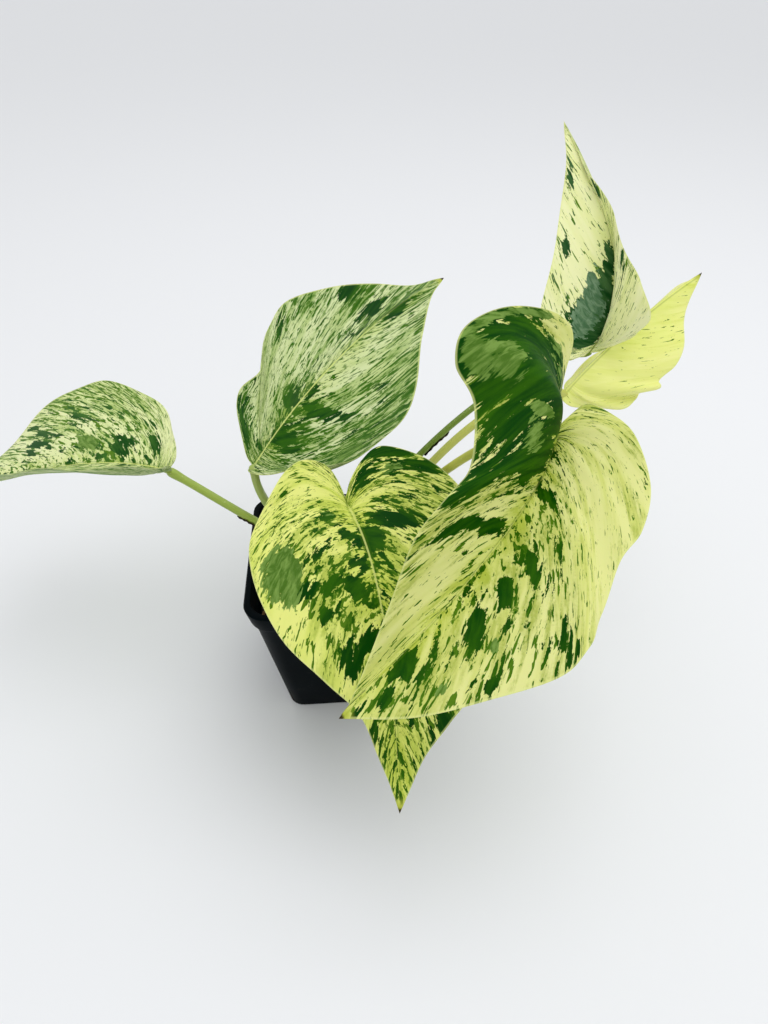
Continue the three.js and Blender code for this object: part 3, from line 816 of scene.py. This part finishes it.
def draw_blade(name, seed):
    """Both skins of a blade as one closed surface, with its vein directions and patches as attributes."""
    blade = BLADES[name]
    veins = np.linspace(0, 1, BLADE_ROWS)
    # Columns lie closer together at the midrib than at the margin.
    steps = np.linspace(0, 1, BLADE_HALF_COLUMNS + 1)
    half = steps ** 1.5 * (1.5 - 0.5 * steps)
    shares = np.concatenate([-half[:0:-1], half])
    left_half, left_length = half_blade(blade, "left", veins, half)
    right_half, right_length = half_blade(blade, "right", veins, half)
    middle = np.concatenate([right_half[:, :0:-1], left_half], axis=1)
    middle = (middle @ blade_axes(blade) + blade["base"]) * MM
    length = np.where(shares[None] < 0, right_length[:, None], left_length[:, None])
    from_rib = np.abs(shares)[None] * length
    from_margin = (1 - np.abs(shares))[None] * length
    normal = unit(np.cross(np.gradient(middle, axis=0), np.gradient(middle, axis=1)))
    down_rib = veins[:, None]
    spread = np.abs(shares)[None]
    wave = MARGIN_WAVE * spread ** 3 * np.sin(down_rib * 29 + seed + 2 * np.sign(shares)[None])
    pucker = PUCKER * np.sin(math.pi * spread) * np.sin(down_rib * 88 + 3 * spread + seed)
    calm = np.clip(np.minimum(down_rib, 1 - down_rib) / 0.06, 0, 1)
    middle = middle + normal * ((wave + pucker) * calm)[..., None]
    thickness = HALF_THICKNESS * np.sqrt(np.clip(from_margin / 0.8, 0, 1)) * np.clip(length / 4, 0, 1)
    rib_shape = np.exp(-(from_rib * MM / RIB_WIDTH) ** 2)
    fade = 1 - 0.8 * down_rib
    rib_ends = np.clip((1 - down_rib) / 0.05, 0, 1) * np.clip(down_rib / 0.04, 0, 1)
    above = middle + normal * (thickness - GROOVE * rib_shape * fade * rib_ends)[..., None]
    below = middle - normal * (thickness + RIDGE * rib_shape * fade * rib_ends)[..., None]
    places = np.concatenate([above, below[:, -2::-1]], axis=1)
    around = places.shape[1] - 1
    piece, row, column = rolled_grid("blade", BLADE_ROWS, around, places)

    def both_sides(values):
        values = np.broadcast_to(values, length.shape)
        return np.concatenate([values, values[:, -2::-1]], axis=1)[row, column]

    underside = np.zeros(around + 1)
    underside[len(shares):] = 1
    underside[[0, len(shares) - 1, around]] = 0.5
    tip_gap = np.linalg.norm(middle - middle[-1:, :1], axis=-1) / MM
    fields = {
        "rib_gap": both_sides(from_rib),
        "margin_gap": both_sides(from_margin),
        "tip_gap": both_sides(tip_gap),
        "dark_patch": both_sides(patch_field(DARK_PATCHES[name], veins, shares)),
        "grey_patch": both_sides(patch_field(GREY_PATCHES[name], veins, shares)),
        "pale_patch": both_sides(patch_field(PALE_PATCHES[name], veins, shares)),
        "underside": underside[column],
    }
    for field, values in fields.items():
        attribute = piece.data.attributes.new(field, "FLOAT", "POINT")
        attribute.data.foreach_set("value", values.astype(np.float32))
    side_shift = SIDE_SHIFT * np.sign(shares)[None]
    lean = STREAK_LEAN[name] * spread * np.minimum(2 * down_rib, 1) * 2 * (1 - down_rib)
    vein_place = np.stack([both_sides((down_rib - lean) * VEIN_SPREAD + side_shift), both_sides(from_rib),
                           both_sides(float(SEED_SHIFT * seed))], axis=1)
    attribute = piece.data.attributes.new("vein_place", "FLOAT_VECTOR", "POINT")
    attribute.data.foreach_set("vector", vein_place.astype(np.float32).ravel())
    close_skin(piece)
    return piece


def leaf_finish(name, look):
    """Marbled leaf skin. Colour lies in streaks along the veins, each laid over the last: a cream ground,
    a green haze, lime beside the midrib, mid-green flecks and dashes, pepper, crisp dark patches and
    clouded grey-green ones. Then come painted shade along both sides of the midrib groove, the midrib,
    the margin, the underside and the dry tip."""
    material, inputs, wire = new_material("leaf_skin_" + name, Specular_IOR_Level=look["specular"],
                                          Subsurface_Weight=0.12, Subsurface_Scale=1.0,
                                          Subsurface_Radius=(1.0 * MM, 1.4 * MM, 0.4 * MM))
    place = wire.node("TexCoord", out="Object")
    veins = wire.node("Attribute", {"attribute_name": "vein_place"}, out="Vector")

    def field(attribute):
        return wire.node("Attribute", {"attribute_name": attribute}, out="Fac")

    def streaks(width, length, seed, detail=5, roughness=0.6):
        """Noise in streaks of about this width and length in millimetres."""
        spread = wire.node("Mapping", {}, {"Vector": veins, "Location": (seed, 2 * seed, seed),
                                           "Scale": (1 / width, 1 / length, 1)})
        return wire.node("TexNoise", {}, {"Vector": spread, "Scale": 1.0, "Detail": detail,
                                          "Roughness": roughness, "Distortion": 0.5}, out="Fac")

    broad = streaks(16, 32, 3, detail=3)
    wash = streaks(4, 11, 11)
    fleck = streaks(3.0, 4.5, 23, detail=5, roughness=0.62)
    spot = streaks(5.5, 8, 41, detail=4, roughness=0.55)
    dash = streaks(1.9, 3.8, 71, detail=3, roughness=0.5)
    pepper = streaks(1.4, 1.6, 57, detail=2, roughness=0.5)
    speck = wire.noise(place, 1100, 3, 0.6)
    dark_patch = field("dark_patch")
    grey_patch = field("grey_patch")
    pale_patch = field("pale_patch")
    skin = wire.colour(look["cream"]).blend(wire.colour(look["glow"]), broad.step(0.4, 0.62))
    haze = wash * 0.65 + broad * 0.35 + speck * 0.12 - pale_patch * 0.08 + look["haze_share"]
    skin = skin.blend(wire.colour(look["haze"]), haze.step(0.5, 0.68))
    rib_gap = field("rib_gap")
    near_rib = 1 - rib_gap.step(1.5, 15)
    skin = skin.blend(wire.colour(look["lime"]), near_rib * (wash + 0.1).step(0.3, 0.7) * look["lime_share"])
    green = fleck * 0.8 + broad * 0.25 + speck * 0.2 + dark_patch * 0.12 - pale_patch * 0.08
    green = green + look["green_share"]
    skin = skin.blend(wire.colour(look["green"]), green.step(0.68, 0.73))
    dashed = dash + broad * 0.2 - pale_patch * 0.07 + look["green_share"]
    dash_tone = wire.colour(look["green"]).blend(wire.colour(look["dark_light"]), wash.step(0.4, 0.6))
    skin = skin.blend(dash_tone, dashed.step(0.65, 0.67))
    peppered = pepper * 0.7 + wash * 0.3 + look["green_share"]
    skin = skin.blend(wire.colour(look["green"]), peppered.step(0.6, 0.64) * 0.75)
    grey = grey_patch * 0.35 - pale_patch * 0.12 + spot * 0.5 + fleck * 0.5 + look["grey_share"]
    grey_tone = wire.colour(look["grey"]).blend(wire.colour(look["grey_light"]), fleck.step(0.4, 0.65))
    skin = skin.blend(grey_tone, grey.step(0.62, 0.65))
    dark = spot * 0.75 + fleck * 0.4 + speck * 0.1 + dark_patch * 0.24 - pale_patch * 0.16
    dark = dark + look["dark_share"]
    lighter = (wash * 0.5 + broad * 0.5).step(0.4, 0.62)
    dark_tone = wire.colour(look["dark"]).blend(wire.colour(look["dark_light"]), lighter)
    skin = skin.blend(dark_tone, dark.step(0.705, 0.725))
    clouded = grey_patch * 0.26 + fleck * 0.6 + spot * 0.2
    skin = skin.blend(grey_tone, clouded.step(0.62, 0.65))
    tip_gap = field("tip_gap")
    rib_line = (1 - rib_gap.step(0.15, 0.6)) * tip_gap.step(10, 80)
    # Painted shade: a band of darker green down each side of the midrib, where the groove falls into shade.
    rib_groove_painted_shade = rib_gap.step(0.4, 0.8) - rib_gap.step(0.8, 1.6)
    skin = skin.blend(wire.colour(look["green"]), rib_groove_painted_shade * 0.35)
    skin = skin.blend(wire.colour(look["rib"]), rib_line * 0.8)
    rim = 1 - field("margin_gap").step(0.25, 0.6)
    skin = skin.blend(wire.colour(look["rim"]), rim * 0.5)
    under = field("underside").step(0.4, 0.6)
    skin = skin.blend(wire.colour(look["under"]), under * 0.42)
    yellowed = (1 - tip_gap.step(1.5, 6)) * look["dry_tip"]
    skin = skin.blend(wire.colour(srgb(176, 184, 70)), yellowed)
    browned = (1 - (tip_gap + speck).step(1.6, 2.8)) * look["dry_tip"]
    skin = skin.blend(wire.colour(srgb(44, 32, 20)), browned)
    plug(skin, inputs["Base Color"])
    plug(0.34 + wash * 0.08 + speck * 0.05 + under * 0.18, inputs["Roughness"])
    lines = streaks(1.1, 60, 7, detail=2, roughness=0.4)
    relief = lines * 0.3 + speck * 0.15 + spot * 0.15
    plug(bump(wire, relief, 0.22, 0.25 * MM), inputs["Normal"])
    return material


# Tones of a leaf. The shares raise or lower how much of each layer shows.
CREAM_LOOK = {
    "cream": srgb(230, 232, 150), "glow": srgb(218, 226, 122), "haze": srgb(182, 196, 86),
    "lime": srgb(196, 210, 66), "green": srgb(84, 124, 22),
    "grey": srgb(74, 112, 32), "grey_light": srgb(122, 154, 72),
    "dark": srgb(4, 62, 0), "dark_light": srgb(44, 94, 0),
    "rib": srgb(214, 222, 128), "rim": srgb(224, 230, 150), "under": srgb(178, 192, 130),
    "haze_share": -0.06, "lime_share": 0.45, "green_share": -0.02, "grey_share": -0.1, "dark_share": 0.0,
    "dry_tip": 1.0, "specular": 0.06,
}
LEAF_LOOKS = {
    "left": {
        **CREAM_LOOK, "cream": srgb(226, 232, 174), "glow": srgb(214, 224, 156), "haze": srgb(170, 192, 108),
        "dark": srgb(12, 70, 4), "dark_light": srgb(58, 106, 30), "under": srgb(120, 150, 92),
        "haze_share": 0.0, "lime_share": 0.2, "green_share": 0.01, "dark_share": 0.0, "specular": 0.12,
    },
    "rear": {
        **CREAM_LOOK, "cream": srgb(206, 216, 162), "glow": srgb(184, 200, 132), "haze": srgb(130, 160, 78),
        "green": srgb(66, 110, 18), "dark": srgb(0, 58, 0),
        "haze_share": 0.02, "lime_share": 0.25, "green_share": 0.035, "dark_share": 0.025, "specular": 0.1,
    },
    "front": {
        **CREAM_LOOK, "cream": srgb(232, 236, 136), "glow": srgb(214, 224, 108),
        "haze_share": 0.02, "green_share": 0.01, "dark_share": 0.035,
    },
    "large": {
        **CREAM_LOOK, "cream": srgb(224, 226, 148), "glow": srgb(206, 212, 116), "haze": srgb(168, 180, 80),
        "haze_share": 0.0, "dark_share": 0.01,
    },
    "tall": {
        **CREAM_LOOK, "cream": srgb(236, 238, 184), "glow": srgb(228, 232, 164), "haze": srgb(202, 212, 132),
        "grey": srgb(72, 108, 74), "grey_light": srgb(116, 144, 112),
        "dark": srgb(16, 66, 22), "dark_light": srgb(66, 104, 56),
        "lime_share": 0.15, "green_share": -0.03, "dark_share": -0.02, "dry_tip": 0.0,
    },
    "small": {
        **CREAM_LOOK, "cream": srgb(236, 238, 152), "glow": srgb(230, 234, 138), "haze": srgb(214, 222, 112),
        "lime_share": 0.3, "green_share": -0.09, "grey_share": -0.16, "dark_share": -0.08,
    },
}
for number, name in enumerate(BLADES):
    finish_piece(draw_blade(name, number + 1), "leaf_" + name, leaf_finish(name, LEAF_LOOKS[name]),
                 ["blade_" + name], smooth_angle=70)

# ---- Studio -------------------------------------------------------------------------------------
# A wide white paper floor that the pot stands on, in even daylight with one large soft light over it.

FLOOR_SIZE = 14
SOFTBOX_PLACE = (0.32, -0.05, 1.15)
SOFTBOX_TARGET = (0, 0, 0.08)
SOFTBOX_SIZE = 0.9
SOFTBOX_WATTS = 4.0
DAYLIGHT_COLOUR = (0.98, 0.99, 1.0, 1.0)
DAYLIGHT_STRENGTH = 0.86
clear_selection()
bpy.ops.mesh.primitive_plane_add(size=FLOOR_SIZE, location=(0, 0, 0))
sweep = bpy.context.object
sweep.name = "studio_floor"
paper, _, _ = new_material("studio_paper", Base_Color=srgb(236, 237, 239), Roughness=0.8,
                           Specular_IOR_Level=0.2)
sweep.data.materials.append(paper)


def soft_light(name, place, target, size, power):
    lamp = bpy.data.lights.new(name, "AREA")
    lamp.shape = "SQUARE"
    lamp.size = size
    lamp.energy = power
    holder = bpy.data.objects.new(name, lamp)
    holder.location = place
    holder.rotation_euler = (Vector(target) - Vector(place)).to_track_quat("-Z", "Y").to_euler()
    bpy.context.scene.collection.objects.link(holder)


soft_light("overhead_softbox", SOFTBOX_PLACE, SOFTBOX_TARGET, SOFTBOX_SIZE, SOFTBOX_WATTS)
world = bpy.data.worlds.new("studio")
world.use_nodes = True
daylight = world.node_tree.nodes["Background"].inputs
daylight["Color"].default_value = DAYLIGHT_COLOUR
daylight["Strength"].default_value = DAYLIGHT_STRENGTH
bpy.context.scene.world = world
bpy.context.scene.view_settings.view_transform = "Standard"

CAMERA_TILT = 38
CAMERA_TURN = -4
CAMERA_PLACE = (17 * MM, -229 * MM, 265 * MM)
CAMERA_LENS = 26
CAMERA_SENSOR = 36
lens = bpy.data.cameras.new("camera")
lens.lens = CAMERA_LENS
lens.sensor_width = CAMERA_SENSOR
camera = bpy.data.objects.new("camera", lens)
turn = Matrix.Rotation(math.radians(CAMERA_TURN), 4, "Z")
camera.location = turn @ Vector(CAMERA_PLACE)
camera.rotation_euler = (math.radians(90 - CAMERA_TILT), 0, math.radians(CAMERA_TURN))
bpy.context.scene.collection.objects.link(camera)
bpy.context.scene.camera = camera
